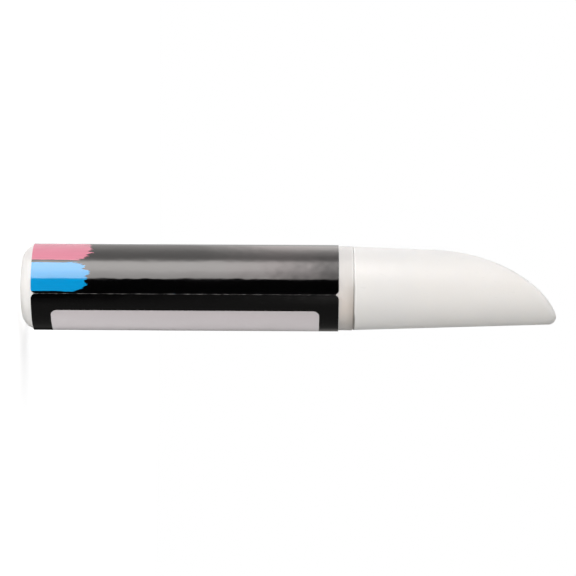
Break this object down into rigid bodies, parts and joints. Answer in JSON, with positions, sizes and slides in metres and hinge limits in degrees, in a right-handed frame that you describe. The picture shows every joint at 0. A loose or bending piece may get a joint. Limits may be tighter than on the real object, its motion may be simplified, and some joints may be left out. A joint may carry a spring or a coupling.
{
  "type": "touch-up paint pen",
  "caption": "Touch-up paint pen: round white barrel in a glossy wrap label, slant-cut pull-off cap, and a spring valve that feeds a fibre nib when it is pressed.",
  "frame": {"origin": "on the pen's axis, in the plane of the flat tail that it stands on", "axes": "+Z along the pen from the tail to the cap's tip; -X is the side that the cap's slanted cut faces; -Y is the side with the label's seam"},
  "size_m": [0.02, 0.02, 0.1235],
  "materials": {
    "barrel_plastic": "satin moulded white",
    "label_film": "glossy black film with bands of pink and blue",
    "ball_steel": "polished ball",
    "valve_plastic": "natural moulded plastic",
    "spring_steel": "drawn wire",
    "seat_rubber": "soft matt",
    "front_plastic": "satin moulded white",
    "nib_fibre": "pressed fibre",
    "liner_plastic": "natural moulded plastic",
    "cap_plastic": "satin moulded white"
  },
  "bodies": {
    "pen_body": {"barrel": "barrel_plastic", "label": "label_film", "front_section": "front_plastic", "valve_cage": "valve_plastic", "valve_seat": "seat_rubber", "valve_spring": "spring_steel"},
    "nib_core": {"nib": "nib_fibre", "valve_stem": "valve_plastic"},
    "ball": {"mixing_ball": "ball_steel"},
    "cap": {"cap_shell": "cap_plastic", "cap_liner": "liner_plastic"}
  },
  "joints": [
    {"name": "cap_pull", "type": "slide", "parent": "pen_body", "child": "cap", "axis": [0, 0, 1], "range_m": [0, 0.04]},
    {"name": "nib_press", "type": "slide", "parent": "pen_body", "child": "nib_core", "axis": [0, 0, -1], "range_m": [0, 0.0013], "stiffness_N_per_m": 2000, "deforming": ["valve_spring"]},
    {"name": "ball_run", "type": "slide", "parent": "pen_body", "child": "ball", "axis": [0, 0, 1], "range_m": [0, 0.063]}
  ]
}
